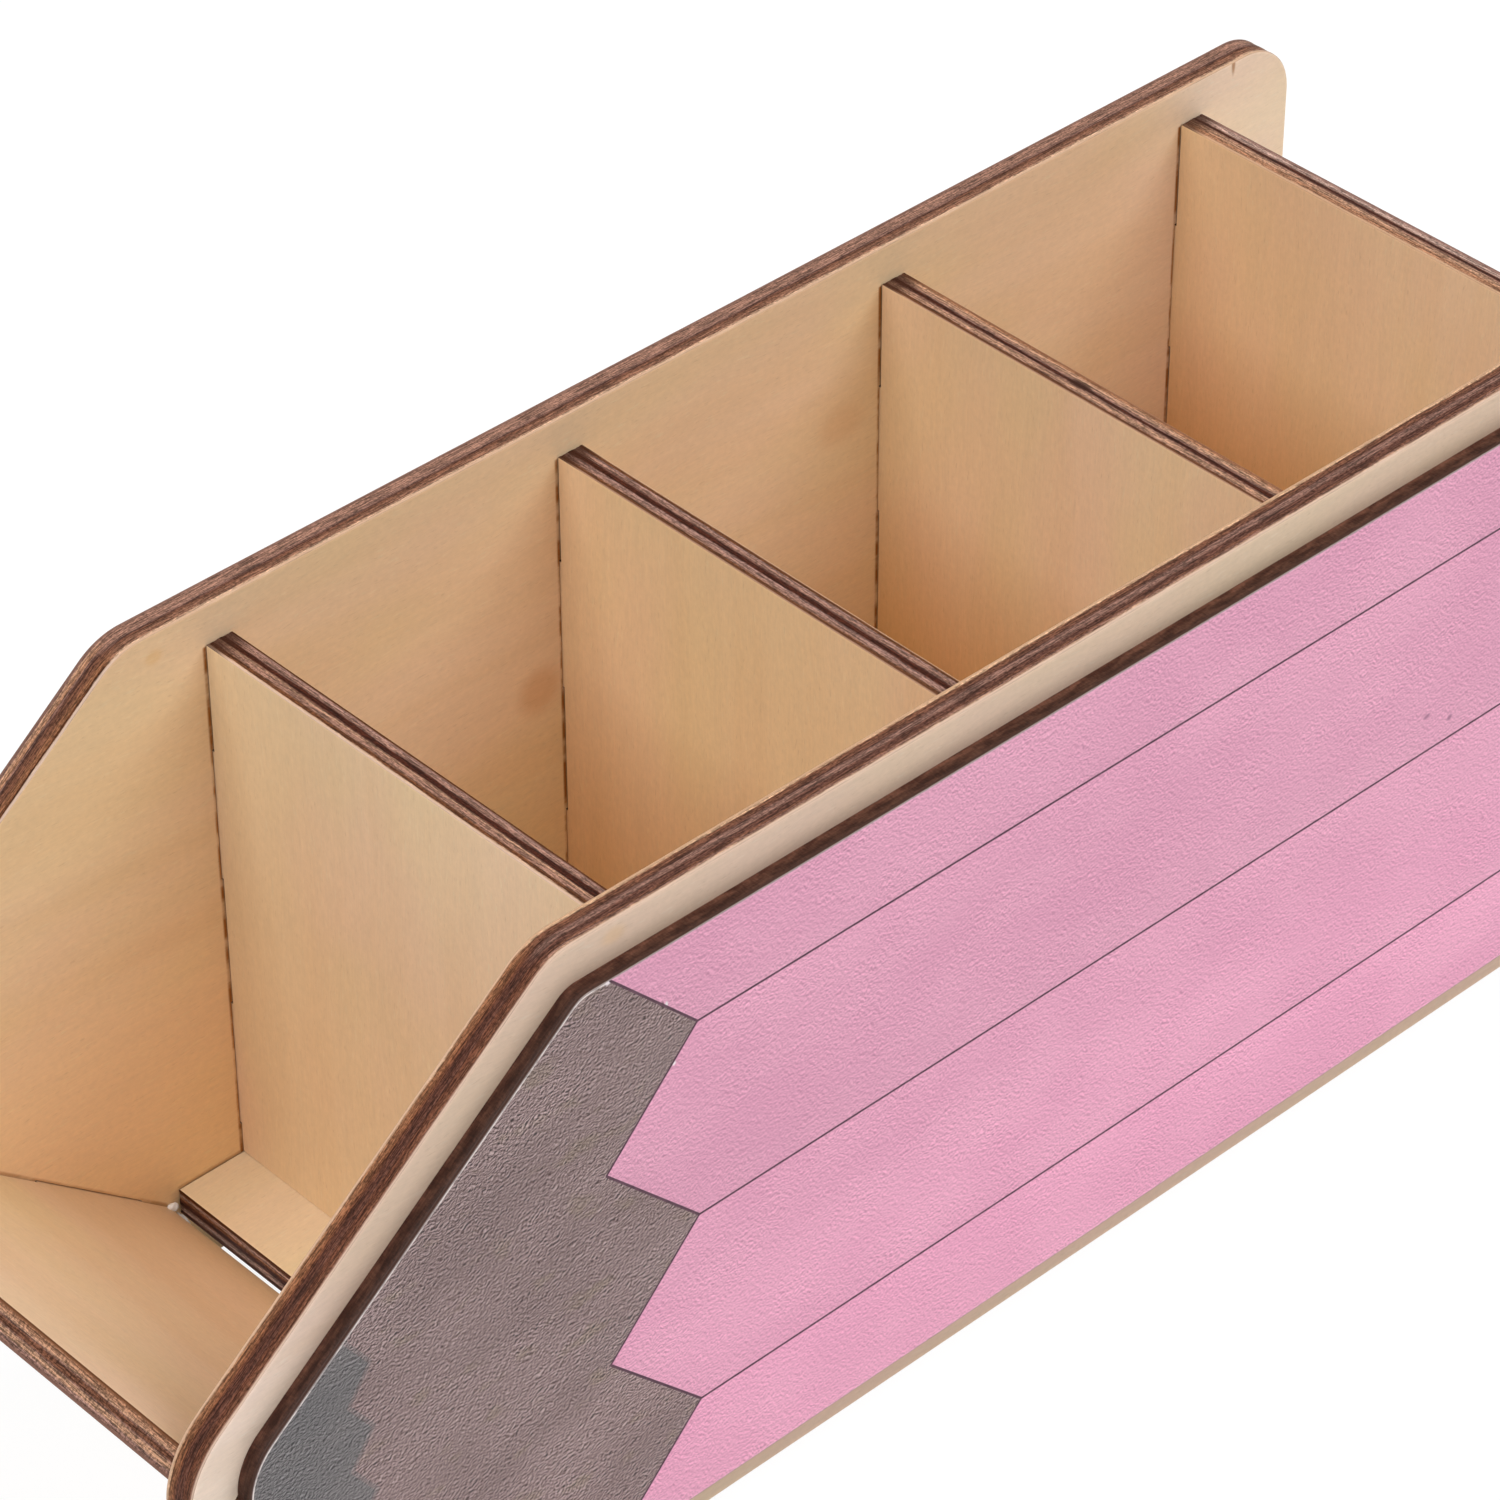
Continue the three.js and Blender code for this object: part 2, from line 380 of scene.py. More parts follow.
def cut_rim(build, loop, rows, thickness, place, roughness):
    """The laser-cut rim along one loop. Returns its first and last vertex rings."""
    normals = inwards(loop)
    count = len(loop)
    runs = [0.0]
    for i in range(count):
        runs.append(runs[-1] + (loop[(i + 1) % count] - loop[i]).length)
    grid, flats = [], []
    for depth, recess in rows:
        numbers, flat = [], []
        for i, point in enumerate(loop):
            wobble = 0.0
            if 0 < depth < thickness:
                spot = Vector((runs[i] * 0.35, depth * 4.0, loop[0].x + loop[0].y))
                wobble = roughness * (0.5 + 0.5 * noise.noise(spot))
            at = point + normals[i] * (recess + wobble)
            numbers.append(len(build.points))
            flat.append(at)
            build.points.append(place(at.x, at.y, depth, 0.0))
        grid.append(numbers)
        flats.append(flat)
    for k in range(len(rows) - 1):
        for i in range(count):
            j = (i + 1) % count
            face = (grid[k][i], grid[k + 1][i], grid[k + 1][j], grid[k][j])
            low, high = rows[k][0], rows[k + 1][0]
            start, end = runs[i], runs[i + 1]
            build.add(face, 0, [(start, low), (start, high), (end, high), (end, low)])
    return list(zip(flats[0], grid[0])), list(zip(flats[-1], grid[-1]))


PLYWOOD_ROWS = [
    (0.0, BEVEL), (0.07, 0.02), (0.27, 0.0), (0.36, 0.03), (0.55, 0.05), (0.9, 0.035),
    (1.25, 0.045), (1.5, 0.02), (1.7, 0.0), (1.95, 0.0), (2.2, 0.0), (2.4, 0.02), (2.65, 0.045),
    (3.0, 0.035), (3.35, 0.05), (3.54, 0.03), (3.63, 0.0), (3.83, 0.02), (3.9, BEVEL),
]
BOARD_ROWS = [(depth * BOARD / PLY, recess) for depth, recess in PLYWOOD_ROWS]
FACING_ROWS = [(0.0, 0.06), (0.06, 0.0), (0.6, 0.02), (1.15, 0.0), (1.69, 0.0), (FACING_PLY, 0.04)]
SKIN_ROWS = [(0.0, 0.03), (0.1, 0.05), (0.25, 0.05), (0.36, 0.01), (0.42, 0.02), (SKIN, 0.07)]


def board(name, node, loops, rows, place, materials, roughness=0.03, kind_of=None, relief=None,
          extra=None, slot="plywood"):
    """A closed board: its first face at depth 0, its last one at the full thickness. It rides on
    the part's body and stands for its CAD node."""
    build = Build()
    thickness = rows[-1][0]
    first, last = [], []
    for loop in loops:
        a, b = cut_rim(build, loop, rows, thickness, place, roughness)
        first.append(a)
        last.append(b)
    plain = lambda x, y: 1
    fill(build, first, loops, 0.0, place, True, plain)
    fill(build, last, loops, thickness, place, False, kind_of or plain, relief, extra)
    piece = build.mesh(name, materials)
    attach(piece, "root")
    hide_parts(node)


# Node graphs


def linear(*rgb):
    """A colour given as 0 to 255, as the shader wants it."""
    parts = [c / 255 for c in rgb]
    return tuple(p / 12.92 if p <= 0.04045 else ((p + 0.055) / 1.055) ** 2.4 for p in parts) + (1.0,)


class Graph:
    """The nodes of a material or world, with a call for each kind of node used here."""

    def __init__(self, name, kind=bpy.data.materials):
        self.owner = kind.new(name)
        self.owner.use_nodes = True
        self.tree = self.owner.node_tree
        self.tree.nodes.clear()

    def node(self, kind, **settings):
        made = self.tree.nodes.new(kind)
        for key, value in settings.items():
            setattr(made, key, value)
        return made

    def put(self, socket, value):
        if isinstance(value, bpy.types.NodeSocket):
            self.tree.links.new(value, socket)
        elif value is not None:
            socket.default_value = value

    def fed(self, kind, *values, **settings):
        """First output of a new node that has the values in its first inputs."""
        made = self.node(kind, **settings)
        for socket, value in zip(made.inputs, values):
            self.put(socket, value)
        return made.outputs[0]

    def place(self):
        return self.node("ShaderNodeTexCoord").outputs["Object"]

    def design(self):
        """Position in millimetres of the design frame."""
        return self.mapped(self.place(), (1000, 1000, 1000), shift=tuple(origin))

    def parts(self, vector):
        split = self.node("ShaderNodeSeparateXYZ")
        self.put(split.inputs[0], vector)
        return split.outputs

    def facing(self, axis):
        """How far the surface looks along an axis of the part, either way."""
        normal = self.node("ShaderNodeTexCoord").outputs["Normal"]
        return self.math("ABSOLUTE", self.parts(normal)[axis])

    def spot(self, at, centre, radii, share=1.0, core=0.3):
        """A soft-edged ellipsoid of a mark, 0 outside and `share` in its core."""
        offset = self.vmath("DIVIDE", self.vmath("SUBTRACT", at, centre), radii)
        return self.between(self.vmath("LENGTH", offset), 1.0, core, 0.0, share)

    def marked(self, colour, at, marks):
        """A colour with marks on it, each given as its colour, place, half sizes and share."""
        for mark, centre, radii, share in marks:
            colour = self.mix(self.spot(at, centre, radii, share), colour, mark)
        return colour

    def gain(self, colour, factor):
        return self.mix(1.0, colour, self.vector(factor, factor, factor), "MULTIPLY")

    def swing(self, value, amount):
        """A factor round 1 from a noise round a half."""
        return self.math("MULTIPLY_ADD", value, amount, 1 - amount / 2)

    def rim(self):
        """(run along the cut or distance from it, depth through the board), in millimetres."""
        run, depth, _ = self.parts(self.node("ShaderNodeUVMap", uv_map="cut").outputs[0])
        return run, depth

    def vector(self, x, y, z):
        return self.fed("ShaderNodeCombineXYZ", x, y, z)

    def mapped(self, vector, scale, turn=(0, 0, 0), shift=(0, 0, 0)):
        return self.fed("ShaderNodeMapping", vector, shift, turn, scale)

    def noise(self, at, scale=None, detail=3.0, rough=0.5, shift=(0, 0, 0), colour=False):
        """A noise with `scale` waves per unit of each axis, or one if it isn't given."""
        made = self.node("ShaderNodeTexNoise")
        self.put(made.inputs["Vector"], self.mapped(at, scale, shift=shift) if scale else at)
        made.inputs["Scale"].default_value = 1.0
        made.inputs["Detail"].default_value = detail
        made.inputs["Roughness"].default_value = rough
        return made.outputs["Color" if colour else "Fac"]

    def rim_noise(self, run, depth, along, across, offset, detail=3.0, rough=0.5):
        """A noise with so many waves per millimetre along a cut and across it."""
        spot = self.vector(self.times(run, along), self.times(depth, across), offset)
        return self.noise(spot, None, detail, rough)

    def swirl(self, at, scale, reach):
        """A soft shift by up to half of `reach` each way."""
        cloud = self.noise(at, scale, 2.0, colour=True)
        return self.vmath("SCALE", self.vmath("SUBTRACT", cloud, (0.5, 0.5, 0.5)), scale=reach)

    def math(self, operation, a, b=None, c=None):
        return self.fed("ShaderNodeMath", a, b, c, operation=operation)

    def times(self, *values):
        """The product of two or more values."""
        total = values[0]
        for value in values[1:]:
            total = self.math("MULTIPLY", total, value)
        return total

    def vmath(self, operation, a, b=None, scale=None):
        made = self.node("ShaderNodeVectorMath", operation=operation)
        self.put(made.inputs[0], a)
        self.put(made.inputs[1], b)
        if scale is not None:
            self.put(made.inputs["Scale"], scale)
        return made.outputs["Value" if operation in ("LENGTH", "DISTANCE") else "Vector"]

    def between(self, value, low, high, to_low=0.0, to_high=1.0):
        """Smooth step from low to high."""
        numbers = value, low, high, to_low, to_high
        return self.fed("ShaderNodeMapRange", *numbers, interpolation_type="SMOOTHSTEP")

    def ramp(self, value, stops):
        made = self.node("ShaderNodeValToRGB")
        ramp = made.color_ramp
        while len(ramp.elements) < len(stops):
            ramp.elements.new(0.5)
        for element, (at, colour) in zip(ramp.elements, stops):
            element.position = at
            element.color = colour
        self.put(made.inputs[0], value)
        return made.outputs[0]

    def mix(self, share, a, b, blend="MIX"):
        made = self.node("ShaderNodeMix", data_type="RGBA", blend_type=blend)
        self.put(made.inputs[0], share)
        self.put(made.inputs[6], a)
        self.put(made.inputs[7], b)
        return made.outputs[2]

    def bump(self, height, strength, distance):
        made = self.node("ShaderNodeBump")
        made.inputs["Strength"].default_value = strength
        made.inputs["Distance"].default_value = distance
        self.put(made.inputs["Height"], height)
        return made.outputs[0]

    def surface(self, colour, roughness, normal=None, specular=0.35):
        shader = self.node("ShaderNodeBsdfPrincipled")
        self.put(shader.inputs["Base Color"], colour)
        self.put(shader.inputs["Roughness"], roughness)
        self.put(shader.inputs["Normal"], normal)
        shader.inputs["Specular IOR Level"].default_value = specular
        out = self.node("ShaderNodeOutputMaterial")
        self.put(out.inputs["Surface"], shader.outputs[0])
        return self.owner


# Wood

WOOD_YELLOW = linear(243, 211, 170)
WOOD_PINK = linear(245, 208, 174)
WOOD_AMBER = linear(231, 187, 135)
WOOD_FLECK = linear(247, 225, 192)
WOOD_PORE = linear(188, 146, 104)
CHAR = linear(56, 30, 20)
SCORCHED = (0.42, 0.2, 0.05, 1)  # what a scorched seam leaves of the wood's colour
SEAM_REACH = 0.4  # half width of a scorched seam
SEAM_OFFSET = 0.15  # from the joint to the seam's darkest line
SEAM_FADE = 0.2  # half the length over which a seam ends
# Painted shade on the cross walls, and painted light on the back panel, change over this span
PAINTED_LOW_SPAN = (66.0, 22.0)  # heights over which a face darkens towards the floor


def wood_face(name, grain, seed, tone, painted_light_tone=None, span=None, marks=(), shade=None, low_painted_tint=None):
    """Smooth sanded veneer. `grain` is the turn that lays the board's grain along the texture's
    x axis. `tone` multiplies the colour, and shades over a span of one axis into a second tone,
    which is painted light and shade: lighter and paler where the board is better lit. The last
    tint multiplies the colour towards the floor, short of the end wall's outer face: painted shade
    on the cross walls and painted light on the back panel."""
    g = Graph(name)
    design = g.design()
    at = g.mapped(g.place(), (1000, 1000, 1000), grain, (seed * 37.0, seed * 11.0, seed * 5.0))
    bent = g.vmath("ADD", at, g.swirl(at, (0.02, 0.05, 0.05), 7.0))
    bands = g.noise(bent, (0.006, 0.13, 0.13), 2.0)
    clouds = g.noise(at, (0.022, 0.04, 0.04), 2.0)
    figure = g.noise(bent, (0.05, 0.5, 0.5), 3.0, 0.55)
    fibres = g.noise(bent, (0.28, 3.6, 3.6), 3.0, 0.6)
    pores = g.noise(bent, (0.75, 6.5, 6.5), 1.0)
    flecks = g.noise(bent, (0.5, 3.8, 3.8), 1.0, shift=(50.0, 9.0, 3.0))
    mottle = g.noise(at, (1.1, 1.6, 1.6), 3.0, 0.6)
    colour = g.mix(g.between(clouds, 0.36, 0.64), WOOD_YELLOW, WOOD_PINK)
    colour = g.mix(g.between(bands, 0.46, 0.72, 0.0, 0.18), colour, WOOD_AMBER)
    colour = g.mix(g.between(flecks, 0.63, 0.74, 0.0, 0.3), colour, WOOD_FLECK)
    colour = g.mix(g.between(pores, 0.66, 0.76, 0.0, 0.22), colour, WOOD_PORE)
    factor = g.times(g.swing(figure, 0.09), g.swing(fibres, 0.14), g.swing(mottle, 0.16))
    colour = g.gain(colour, factor)
    # Painted light and shade: the tone shades into a lighter, paler one across the board.
    if painted_light_tone:
        axis, low, high = span
        tone = g.mix(g.between(g.parts(design)[axis], low, high), tone, painted_light_tone)
    colour = g.mix(1.0, colour, tone, "MULTIPLY")
    # Painted shade towards the floor in the compartments, warm like light bounced off wood, and painted
    # light on the back panel; none on the end wall's outer face.
    if low_painted_tint:
        x, _, z = g.parts(design)
        within = g.between(x, end_wall_far - 1.0, end_wall_far - 1.6)
        colour = g.mix(g.times(g.between(z, *PAINTED_LOW_SPAN), within), colour, low_painted_tint, "MULTIPLY")
    colour = g.marked(colour, design, marks)
    if shade:
        colour = shade(g, colour)
    # Painted highlight: the face is up to 6% lighter within half a millimetre of its cut.
    colour = g.gain(colour, g.between(g.rim()[0], 0.5, 0.1, 1.0, 1.06))
    rough = g.math("MULTIPLY_ADD", figure, 0.14, 0.42)
    height = g.math("ADD", g.times(fibres, 0.6), g.times(pores, -0.4))
    return g.surface(colour, rough, g.bump(height, 0.22, 0.00005), 0.25)


def seam_line(g, off, share):
    """`share` on a scorched line and 0 from SEAM_REACH off it."""
    return g.between(g.math("ABSOLUTE", off), SEAM_REACH, SEAM_REACH / 8, 0.0, share)


def seam_shade(g, colour):
    """The back panel's face, scorched in broken lines where the other boards butt on it."""
    design = g.design()
    x, y, z = g.parts(design)
    nearest = g.times(g.math("ROUND", g.math("DIVIDE", x, BAY_PITCH)), BAY_PITCH)
    walls = g.times(
        seam_line(g, g.math("ADD", g.math("SUBTRACT", x, nearest), SEAM_OFFSET), 1.0),
        g.between(x, -2.0, -1.0),
        g.between(z, floor_top - 0.1, floor_top),
        g.between(z, wall_top - 0.2, wall_top - 0.5),
    )
    floor_end = end_wall_far + FLOOR_LIP
    ground = g.times(
        seam_line(g, g.math("SUBTRACT", z, floor_top + SEAM_OFFSET), 0.35),
        g.between(x, -FLOOR_LIP - SEAM_FADE, -FLOOR_LIP + SEAM_FADE),
        g.between(x, floor_end + SEAM_FADE, floor_end - SEAM_FADE),
    )
    over = g.times(g.math("SUBTRACT", x, slope_start[0]), -slope_under[0])
    rise = g.times(g.math("SUBTRACT", z, slope_start[1]), -slope_under[1])
    above = g.math("SUBTRACT", g.math("ADD", over, rise), SEAM_OFFSET)
    slope_end = slope_start[0] + slope_up[0] * slope_length
    slope = g.times(
        seam_line(g, above, 0.55),
        g.between(x, slope_start[0], slope_start[0] - 2 * SEAM_FADE),
        g.between(x, slope_end - SEAM_FADE, slope_end + SEAM_FADE),
    )
    broken = g.noise(design, (0.1, 0.1, 0.35))
    line = g.times(
        g.math("MAXIMUM", g.math("MAXIMUM", walls, ground), slope),
        g.between(y, INNER_DEPTH + 0.6, INNER_DEPTH + 0.3),
        g.between(broken, 0.36, 0.6, 0.35, 1.0),
    )
    return g.mix(line, colour, g.mix(1.0, colour, SCORCHED, "MULTIPLY"))


def painted_strip_shade(g, colour):
    """The front panel's face, which shows as a strip, with painted shade next to the facing and a
    painted highlight along its cut.
    """
    distance, _ = g.rim()
    # Painted shade cast by the facing's ledge, then a painted highlight along the cut.
    colour = g.gain(colour, g.between(distance, 2.2, 5.2, 1.0, 0.84))
    return g.gain(colour, g.between(distance, 0.75, 0.2, 1.0, 1.05))


# Tones of a laser-cut edge, from the pale veneer to the charred core
RIM_PALE = linear(216, 185, 164)
RIM = linear(203, 163, 130)
TAN = linear(168, 129, 104)
MID = linear(147, 109, 92)
DULL = linear(127, 94, 82)
AMBER = linear(134, 89, 62)
BROWN = linear(110, 71, 53)
RED_BROWN = linear(97, 58, 35)
DARK = linear(92, 59, 48)
DEEP = linear(80, 47, 36)
CORE = linear(64, 29, 17)
RED = linear(121, 75, 51)
SINGED = linear(84, 43, 18)
RIM_WARM = linear(214, 176, 146)
ORANGE = linear(160, 114, 86)
WARM_TAN = linear(176, 135, 108)
GREY_TAN = linear(174, 144, 131)
UMBER = linear(97, 58, 42)
COFFEE = linear(86, 53, 42)
CLAY = linear(146, 103, 74)
BRICK = linear(132, 92, 72)
PINK_TAN = linear(150, 116, 105)


def cut_plies(name, seed, thickness, plies, slanted=None, flip=False, dashes=0.4, tip=None, marks=()):
    """Charred edge of plywood. `plies` are tones over the depth in millimetres, and `slanted` the
    ones where the cut looks along the pencil. `tip` is the y past which a wall's top is charred."""
    g = Graph(name)
    run, depth = g.rim()
    if flip:
        depth = g.math("SUBTRACT", thickness, depth)

    def grain(along, across, offset):
        return g.rim_noise(run, depth, along, across, seed + offset, 2.0, 0.6)

    def away(near, far):
        """0 up to `near` from either face and 1 from `far` on."""
        first = g.between(depth, near, far)
        return g.times(first, g.between(depth, thickness - near, thickness - far))

    def tones(stops):
        return g.ramp(wavy, [(at / thickness, tone) for at, tone in stops.items()])

    lines, threads, specks = grain(0.22, 4.6, 0.0), grain(0.8, 9.0, 3.0), grain(2.4, 5.5, 5.0)
    patches, crossed = grain(0.09, 1.1, 9.0), grain(3.4, 1.6, 11.0)
    sway = g.math("MULTIPLY_ADD", patches, 0.5, -0.25)
    sway = g.math("ADD", sway, g.math("MULTIPLY_ADD", grain(0.8, 1.4, 7.0), 0.22, -0.11))
    wavy = g.math("DIVIDE", g.math("ADD", depth, g.times(sway, away(0.02, 0.6))), thickness)
    colour = tones(plies)
    if slanted:
        colour = g.mix(g.between(g.facing(0), 0.25, 0.55), colour, tones(slanted))
    factor = g.times(g.swing(lines, 3.6), g.swing(threads, 3.2), g.swing(specks, 2.6))
    factor = g.times(factor, g.swing(crossed, dashes * 2), g.swing(patches, 0.5))
    factor = g.math("MINIMUM", g.math("MAXIMUM", factor, 0.35), 1.9)
    change = g.times(g.math("SUBTRACT", factor, 1.0), away(0.15, 0.5))
    colour = g.gain(colour, g.math("ADD", 1.0, change))
    colour = g.mix(g.between(g.facing(1), 0.6, 0.9, 0.0, 0.65), colour, CHAR)
    design = g.design()
    if tip:
        burnt = g.between(g.parts(design)[1], tip - 4.4, tip - 1.2, 0.0, 0.8)
        colour = g.mix(burnt, colour, CHAR)
    colour = g.marked(colour, design, marks)
    height = g.math("ADD", g.times(lines, 0.8), g.times(specks, 0.6))
    rough = g.math("MULTIPLY_ADD", specks, -0.3, 0.7)
    return g.surface(colour, rough, g.bump(height, 0.6, 0.00014), 0.08)


DIVIDER_PLIES = {
    0.0: RIM, 0.08: TAN, 0.22: RED_BROWN, 0.56: RED_BROWN, 0.76: MID, 1.34: PINK_TAN, 1.48: DARK,
    1.58: CORE, 2.1: CORE, 2.26: DARK, 2.42: DULL, 2.58: MID, 2.98: PINK_TAN, 3.14: RED_BROWN,
    3.36: RED_BROWN, 3.5: RIM, 3.6: RIM,
}
PALE_WALL_PLIES = {
    0.0: RIM, 0.08: TAN, 0.2: RED_BROWN, 0.5: RED_BROWN, 0.66: MID, 0.86: TAN, 1.14: TAN,
    1.36: MID, 1.54: DARK, 1.64: CORE, 1.92: CORE, 2.1: DULL, 2.3: MID, 2.6: TAN, 2.92: WARM_TAN,
    3.14: ORANGE, 3.34: AMBER, 3.6: ORANGE,
}
RIMMED_PLIES = {
    0.0: RIM_PALE, 0.3: RIM_WARM, 0.44: RED_BROWN, 0.78: RED_BROWN, 1.0: MID, 1.4: MID, 1.62: TAN,
    1.84: DARK, 1.94: CORE, 2.46: CORE, 2.62: DULL, 2.8: MID, 3.24: PINK_TAN, 3.36: RED_BROWN,
    3.44: SINGED, 3.6: SINGED,
}
END_WALL_PLIES = {
    0.0: RIM, 0.22: RIM, 0.44: ORANGE, 0.95: ORANGE, 1.2: TAN, 1.55: TAN, 1.75: MID, 1.95: DARK,
    2.08: CORE, 2.3: CORE, 2.5: DULL, 2.68: GREY_TAN, 3.0: GREY_TAN, 3.2: PINK_TAN, 3.6: DULL,
}
WALL_PLIES = [RIMMED_PLIES, DIVIDER_PLIES, PALE_WALL_PLIES, END_WALL_PLIES]
FRONT_PLIES = {
    0.0: RIM, 0.4: RIM, 0.56: BROWN, 1.0: BROWN, 1.38: DARK, 1.6: DULL, 2.05: DULL, 2.35: DARK,
    2.8: DARK, 3.08: BROWN, 3.3: DULL, 3.5: TAN, 3.66: RIM_PALE, 3.9: RIM_PALE,
}
FRONT_SLANT_PLIES = {
    0.0: RIM_WARM, 0.24: RIM_WARM, 0.42: CLAY, 0.6: AMBER, 0.88: AMBER, 1.13: RED, 1.45: UMBER,
    1.75: COFFEE, 2.05: DEEP, 2.33: DARK, 2.63: UMBER, 2.92: UMBER, 3.22: BROWN, 3.46: BROWN,
    3.6: MID, 3.74: RIM_PALE, 3.9: RIM_PALE,
}
BACK_PLIES = {
    0.0: RIM_WARM, 0.38: RIM_WARM, 0.58: TAN, 0.76: BRICK, 1.15: BRICK, 1.5: BROWN, 1.75: DARK,
    2.0: DULL, 2.4: MID, 2.78: MID, 3.3: MID, 3.6: DULL, 3.9: MID,
}
BACK_SLANT_PLIES = {
    0.0: RIM_PALE, 0.28: RIM_PALE, 0.4: SINGED, 0.58: RED_BROWN, 0.8: AMBER, 1.15: AMBER,
    1.5: BROWN, 1.8: BROWN, 2.2: DARK, 2.5: DULL, 2.75: ORANGE, 3.3: WARM_TAN, 3.46: DULL,
    3.9: DULL,
}
SLOPE_PLIES = {
    0.0: RIM, 0.05: SINGED, 0.26: AMBER, 0.46: ORANGE, 1.1: TAN, 1.26: DULL, 1.42: BROWN,
    1.88: BROWN, 2.04: DULL, 2.25: TAN, 2.65: WARM_TAN, 2.92: PINK_TAN, 3.12: DULL, 3.4: DULL,
    3.6: MID,
}
FLOOR_PLIES = {
    0.0: SINGED, 0.38: SINGED, 0.52: BRICK, 0.68: GREY_TAN, 0.84: GREY_TAN, 1.02: MID, 1.2: AMBER,
    1.45: UMBER, 1.65: DEEP, 1.9: CORE, 2.1: DEEP, 2.34: MID, 2.58: GREY_TAN, 2.8: GREY_TAN,
    2.96: MID, 3.12: DARK, 3.3: DEEP, 3.6: DULL,
}


def facing_edge(name):
    """The thin board's charred cut, darker where it looks along the pencil."""
    g = Graph(name)
    run, depth = g.rim()
    marks = g.rim_noise(run, depth, 3.4, 1.3, 2.0, rough=0.6)
    patch = g.rim_noise(run, depth, 0.3, 1.2, 4.0, rough=0.6)
    lines = g.rim_noise(run, depth, 0.5, 6.0, 6.0, rough=0.6)
    colour = g.mix(g.between(patch, 0.35, 0.68), linear(52, 28, 20), linear(84, 54, 42))
    factor = g.times(g.swing(marks, 1.5), g.swing(lines, 1.2))
    colour = g.gain(colour, g.math("MAXIMUM", factor, 0.4))
    colour = g.gain(colour, g.between(depth, 0.1, 1.2, 1.6, 0.86))
    colour = g.gain(colour, g.between(g.facing(0), 0.3, 0.6, 1.12, 0.86))
    rough = g.math("MULTIPLY_ADD", marks, -0.3, 0.66)
    return g.surface(colour, rough, g.bump(marks, 0.6, 0.00012), 0.16)


# Printed face

LINE_HEIGHTS = (72.34, 45.79, 19.16)
LINE_HALF = 0.15
LINE_DEPTH = 0.05
ZIG_RIGHT, ZIG_LEFT = 6.11, -6.62
LEAD_RIGHT, LEAD_LEFT = -38.3, -41.3
LEAD_MIDDLE = 45.26
LEAD_STEP = 4.45
LEAD_BLEND = 0.3  # half the width over which lead and wood tone meet
LINE_CLEAR = 0.14  # least distance between the sheet's cut and the end of a printed line
LINE_SAMPLES = 2000
LINE_STEP = 2.0  # between points along a printed border
NEAR_SHARE = 0.98  # of a border's distance within which a spot counts as part of it


def zigzag():
    """The print's toothed border between coloured barrel and bare cone, from top to bottom."""
    half = (LINE_HEIGHTS[0] - LINE_HEIGHTS[1]) / 2
    points = [(ZIG_LEFT, LINE_HEIGHTS[0] + half)]
    for z in LINE_HEIGHTS:
        points += [(ZIG_RIGHT, z), (ZIG_LEFT, z - half)]
    return points


def lead_border():
    """The print's toothed border between bare cone and lead, from top to bottom."""
    turns = range(-5, 6)
    return [(LEAD_LEFT if k % 2 else LEAD_RIGHT, LEAD_MIDDLE - k * LEAD_STEP) for k in turns]


def border_x(points, z):
    for (xa, za), (xb, zb) in zip(points, points[1:]):
        if zb <= z <= za:
            return xa + (xb - xa) * (za - z) / (za - zb)
    return points[0][0] if z > points[0][1] else points[-1][0]


def line_strokes():
    """Centre lines of the dark printed strokes."""
    teeth = zigzag()
    strokes = list(zip(teeth, teeth[1:]))
    strokes += [((ZIG_RIGHT, z), (panel_end, z)) for z in LINE_HEIGHTS]
    return strokes


def stroke_distance(x, z):
    nearest = 1e9
    for (xa, za), (xb, zb) in line_strokes():
        ux, uz = xb - xa, zb - za
        share = ((x - xa) * ux + (z - za) * uz) / (ux * ux + uz * uz)
        share = min(1.0, max(0.0, share))
        nearest = min(nearest, math.hypot(x - xa - ux * share, z - za - uz * share))
    return nearest


def print_kind(x, z):
    """Material number of a spot of the printed face."""
    if stroke_distance(x, z) < LINE_HALF * NEAR_SHARE:
        return 5
    if x > border_x(zigzag(), z):
        return 2
    past = x - border_x(lead_border(), z)
    if abs(past) < LEAD_BLEND * NEAR_SHARE:
        return 6
    return 3 if past > 0 else 4


def groove(x, z):
    return LINE_DEPTH * max(0.0, 1 - stroke_distance(x, z) / LINE_HALF)


def within_sheet(a, b):
    """The part of a line that lies well inside the sheet, or nothing."""
    border = [pencil_outline(FACING_INSET + LINE_CLEAR)]
    shares = np.linspace(0, 1, LINE_SAMPLES)
    points = np.outer(1 - shares, a) + np.outer(shares, b)
    kept = shares[inside(points, border)]
    if not len(kept):
        return None
    a, b = Vector(a), Vector(b)
    return a.lerp(b, float(kept[0])), a.lerp(b, float(kept[-1]))


def print_borders():
    """Points and pairs that the printed face's triangles have to follow."""
    points, pairs = [], []

    def line(a, b):
        part = within_sheet(a, b)
        if part is None:
            return
        a, b = part
        steps = max(1, math.ceil((b - a).length / LINE_STEP))
        first = len(points)
        points.extend(a.lerp(b, k / steps) for k in range(steps + 1))
        pairs.extend((first + k, first + k + 1) for k in range(steps))

    for a, b in line_strokes():
        along = (Vector(b) - Vector(a)).normalized()
        side = Vector((-along.y, along.x)) * LINE_HALF
        line(a, b)
        for s in (-1, 1):
            line(Vector(a) + side * s, Vector(b) + side * s)
    lead = lead_border()
    for a, b in zip(lead, lead[1:]):
        for s in (-LEAD_BLEND, LEAD_BLEND):
            line((a[0] + s, a[1]), (b[0] + s, b[1]))
    return points, pairs


